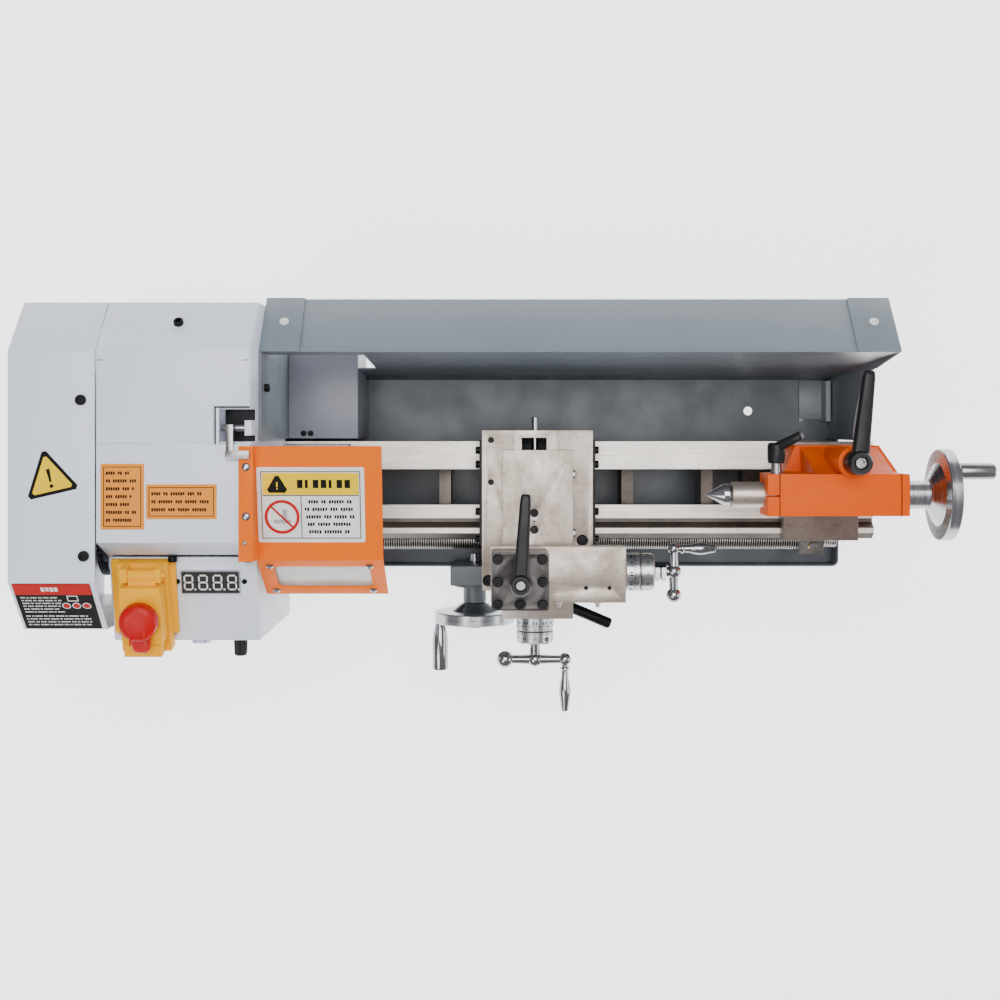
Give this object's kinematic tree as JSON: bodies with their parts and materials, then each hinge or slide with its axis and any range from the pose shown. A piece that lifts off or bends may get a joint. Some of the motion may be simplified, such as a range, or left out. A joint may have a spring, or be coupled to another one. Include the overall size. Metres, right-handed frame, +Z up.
{
  "type": "metal lathe",
  "caption": "Bench-top metal lathe with headstock enclosure, chuck guard, carriage with tool post, tailstock, splash guard and chip tray.",
  "frame": {"origin": "centre of the four bench bolts on the bench plane, under the spindle axis", "axes": "+X along the bed towards the tailstock, +Y to the rear, +Z up"},
  "size_m": [0.7383, 0.3376, 0.2966],
  "materials": {
    "rubber": "matte",
    "slate_paint": "satin",
    "cast_iron": "ground",
    "ground_steel": "ground",
    "steel": "polished",
    "blue_paint": "satin",
    "grey_paint": "satin",
    "orange_paint": "gloss",
    "orange_casting": "gloss",
    "chrome": "chrome",
    "black_plastic": "satin",
    "yellow_plastic": "satin",
    "red_plastic": "gloss",
    "clear_plastic": "clear",
    "black_steel": "oxide",
    "aluminium": "brushed",
    "motor_black": "satin",
    "belt_rubber": "matte"
  },
  "bodies": {
    "root": {"rubber_feet": "rubber", "chip_tray": "slate_paint", "bed": "cast_iron", "bed_rack": "black_steel", "leadscrew_brackets": "cast_iron", "splash_back": "blue_paint", "splash_ends": "blue_paint", "motor_cover": "grey_paint", "motor": "motor_black", "drive_belt": "belt_rubber", "headstock": "cast_iron", "spindle_bearings": "steel", "headstock_cover": "grey_paint", "headstock_lid": "grey_paint", "gear_cover": "grey_paint", "control_box": "grey_paint", "estop_base": "yellow_plastic", "gear_studs": "steel"},
    "spindle_unit": {"spindle": "ground_steel", "spindle_pulley": "aluminium", "spindle_gear": "steel", "chuck_body": "ground_steel"},
    "jaw_1": {"chuck_jaw_1": "steel"},
    "jaw_2": {"chuck_jaw_2": "steel"},
    "jaw_3": {"chuck_jaw_3": "steel"},
    "motor_shaft": {"motor_pulley": "aluminium"},
    "tumbler": {"tumbler_gear": "steel"},
    "stud_pair": {"stud_gear": "steel"},
    "compound_pair": {"compound_gear": "steel"},
    "leadscrew_unit": {"leadscrew": "steel"},
    "guard_unit": {"chuck_guard": "orange_paint", "guard_window": "clear_plastic", "guard_arm": "steel"},
    "stop_lid": {"estop_lid": "yellow_plastic"},
    "stop_button": {"estop_button": "red_plastic"},
    "speed_dial": {"speed_knob": "black_plastic"},
    "direction_dial": {"direction_knob": "black_plastic"},
    "carriage": {"saddle": "ground_steel", "apron": "cast_iron"},
    "carriage_wheel": {"handwheel": "aluminium"},
    "carriage_grip": {"handwheel_grip": "chrome"},
    "nut_lever": {"half_nut_lever": "black_steel"},
    "nut_upper": {"half_nut_upper": "cast_iron"},
    "nut_lower": {"half_nut_lower": "cast_iron"},
    "cross_unit": {"cross_slide": "ground_steel"},
    "cross_handle": {"cross_crank": "chrome"},
    "compound_unit": {"compound_base": "ground_steel"},
    "top_unit": {"top_slide": "ground_steel"},
    "top_handle": {"compound_crank": "chrome"},
    "post": {"toolpost": "ground_steel", "toolpost_screws": "black_steel"},
    "post_lever": {"toolpost_lever": "black_plastic"},
    "tailstock": {"tailstock_base": "cast_iron", "tailstock_body": "orange_casting"},
    "tail_quill": {"quill": "ground_steel", "tail_center": "steel"},
    "tail_wheel": {"tail_handwheel": "aluminium"},
    "tail_wheel_grip": {"tail_grip": "chrome"},
    "quill_lever": {"quill_lock_lever": "black_plastic"},
    "clamp_lever": {"tail_clamp_lever": "black_plastic"}
  },
  "joints": [
    {"name": "spindle_spin", "type": "hinge", "parent": "root", "child": "spindle_unit", "pos_m": [-0.22, 0, 0.21], "axis": [1, 0, 0], "continuous": true},
    {"name": "motor_spin", "type": "hinge", "parent": "root", "child": "motor_shaft", "pos_m": [-0.29, 0.072, 0.072], "axis": [1, 0, 0], "continuous": true},
    {"name": "tumbler_spin", "type": "hinge", "parent": "root", "child": "tumbler", "pos_m": [-0.307, 0.0086, 0.1735], "axis": [1, 0, 0], "continuous": true},
    {"name": "stud_spin", "type": "hinge", "parent": "root", "child": "stud_pair", "pos_m": [-0.312, 0, 0.137], "axis": [1, 0, 0], "continuous": true},
    {"name": "compound_spin", "type": "hinge", "parent": "root", "child": "compound_pair", "pos_m": [-0.325, -0.03109, 0.11183], "axis": [1, 0, 0], "continuous": true},
    {"name": "leadscrew_spin", "type": "hinge", "parent": "root", "child": "leadscrew_unit", "pos_m": [-0.331, -0.0467, 0.075], "axis": [1, 0, 0], "continuous": true},
    {"name": "jaw_1_slide", "type": "slide", "parent": "spindle_unit", "child": "jaw_1", "axis": [0, 0, 1], "range_m": [-0.009, 0.01]},
    {"name": "jaw_2_slide", "type": "slide", "parent": "spindle_unit", "child": "jaw_2", "axis": [0, -0.866, -0.5], "range_m": [-0.009, 0.01]},
    {"name": "jaw_3_slide", "type": "slide", "parent": "spindle_unit", "child": "jaw_3", "axis": [0, 0.866, -0.5], "range_m": [-0.009, 0.01]},
    {"name": "guard_lift", "type": "hinge", "parent": "root", "child": "guard_unit", "pos_m": [-0.18, 0.0524, 0.28], "axis": [-1, 0, 0], "range_deg": [0, 90]},
    {"name": "stop_lid_hinge", "type": "hinge", "parent": "root", "child": "stop_lid", "pos_m": [-0.252, -0.05606, 0.27683], "axis": [-1, 0, 0], "range_deg": [0, 100]},
    {"name": "stop_press", "type": "slide", "parent": "stop_lid", "child": "stop_button", "axis": [0, 0.2258, -0.9742], "range_m": [0, 0.0022], "stiffness_N_per_m": 400, "springref_m": -0.001},
    {"name": "speed_turn", "type": "hinge", "parent": "root", "child": "speed_dial", "pos_m": [-0.2029, -0.115, 0.15], "axis": [0, -1, 0], "range_deg": [0, 270]},
    {"name": "direction_turn", "type": "hinge", "parent": "root", "child": "direction_dial", "pos_m": [-0.2714, -0.115, 0.15], "axis": [0, -1, 0], "range_deg": [-60, 60]},
    {"name": "carriage_slide", "type": "slide", "parent": "root", "child": "carriage", "axis": [1, 0, 0], "range_m": [-0.07, 0.15]},
    {"name": "carriage_wheel_turn", "type": "hinge", "parent": "carriage", "child": "carriage_wheel", "pos_m": [-0.0107, -0.11, 0.078], "axis": [0, -1, 0], "range_deg": [-1337.87, 2865.72]},
    {"name": "carriage_grip_spin", "type": "hinge", "parent": "carriage_wheel", "child": "carriage_grip", "pos_m": [-0.041, -0.14, 0.078], "axis": [0, -1, 0], "continuous": true},
    {"name": "half_nut_turn", "type": "hinge", "parent": "carriage", "child": "nut_lever", "pos_m": [0.058, -0.095, 0.085], "axis": [0, 1, 0], "range_deg": [0, 40]},
    {"name": "nut_upper_slide", "type": "slide", "parent": "carriage", "child": "nut_upper", "axis": [0, 0, 1], "range_m": [-0.0062, 0]},
    {"name": "nut_lower_slide", "type": "slide", "parent": "carriage", "child": "nut_lower", "axis": [0, 0, 1], "range_m": [0, 0.0062]},
    {"name": "cross_slide_travel", "type": "slide", "parent": "carriage", "child": "cross_unit", "axis": [0, -1, 0], "range_m": [-0.038, 0.02]},
    {"name": "cross_crank_turn", "type": "hinge", "parent": "cross_unit", "child": "cross_handle", "pos_m": [0.0406, -0.13, 0.142], "axis": [0, -1, 0], "range_deg": [-13681, 7201]},
    {"name": "compound_swivel", "type": "hinge", "parent": "cross_unit", "child": "compound_unit", "pos_m": [0.042, -0.073, 0.16], "axis": [0, 0, -1], "range_deg": [-30, 45]},
    {"name": "top_slide_travel", "type": "slide", "parent": "compound_unit", "child": "top_unit", "axis": [-1, 0, 0], "range_m": [-0.01, 0.034]},
    {"name": "compound_crank_turn", "type": "hinge", "parent": "top_unit", "child": "top_handle", "pos_m": [0.13, -0.0633, 0.182], "axis": [1, 0, 0], "range_deg": [-3601, 12241]},
    {"name": "toolpost_turn", "type": "hinge", "parent": "top_unit", "child": "post", "pos_m": [0.027, -0.0658, 0.21], "axis": [0, 0, 1], "continuous": true},
    {"name": "toolpost_lever_turn", "type": "hinge", "parent": "top_unit", "child": "post_lever", "pos_m": [0.027, -0.0658, 0.25], "axis": [0, 0, 1], "range_deg": [-60, 60]},
    {"name": "tailstock_slide", "type": "slide", "parent": "root", "child": "tailstock", "axis": [1, 0, 0], "range_m": [-0.095, 0]},
    {"name": "tail_wheel_turn", "type": "hinge", "parent": "tailstock", "child": "tail_wheel", "pos_m": [0.35, 0, 0.21], "axis": [1, 0, 0], "range_deg": [-7200, 10800]},
    {"name": "quill_travel", "type": "slide", "parent": "tailstock", "child": "tail_quill", "axis": [-1, 0, 0], "range_m": [-0.0201, 0.0301]},
    {"name": "tail_grip_spin", "type": "hinge", "parent": "tail_wheel", "child": "tail_wheel_grip", "pos_m": [0.378, 0.019, 0.23], "axis": [1, 0, 0], "continuous": true},
    {"name": "quill_lock_turn", "type": "hinge", "parent": "tailstock", "child": "quill_lever", "pos_m": [0.225, 0.03, 0.2255], "axis": [0, -1, 0], "range_deg": [-20, 60]},
    {"name": "tail_clamp_turn", "type": "hinge", "parent": "tailstock", "child": "clamp_lever", "pos_m": [0.2826, 0.026, 0.25], "axis": [0, 0, 1], "range_deg": [0, 60]}
  ],
  "couplings": [
    {"joint": "motor_spin", "follows": "spindle_spin", "ratio": 2.5},
    {"joint": "tumbler_spin", "follows": "spindle_spin", "ratio": -1.5},
    {"joint": "stud_spin", "follows": "spindle_spin", "ratio": 1},
    {"joint": "compound_spin", "follows": "spindle_spin", "ratio": -0.33333},
    {"joint": "leadscrew_spin", "follows": "spindle_spin", "ratio": 0.11111},
    {"joint": "jaw_2_slide", "follows": "jaw_1_slide", "ratio": 1},
    {"joint": "jaw_3_slide", "follows": "jaw_1_slide", "ratio": 1},
    {"joint": "carriage_wheel_turn", "follows": "carriage_slide", "rad_per_m": 333.33},
    {"joint": "nut_upper_slide", "follows": "half_nut_turn", "m_per_rad": -0.0085944},
    {"joint": "nut_lower_slide", "follows": "half_nut_turn", "m_per_rad": 0.0085944},
    {"joint": "cross_crank_turn", "follows": "cross_slide_travel", "rad_per_m": 6283.2},
    {"joint": "compound_crank_turn", "follows": "top_slide_travel", "rad_per_m": 6283.2},
    {"joint": "quill_travel", "follows": "tail_wheel_turn", "m_per_rad": 0.00015915}
  ]
}
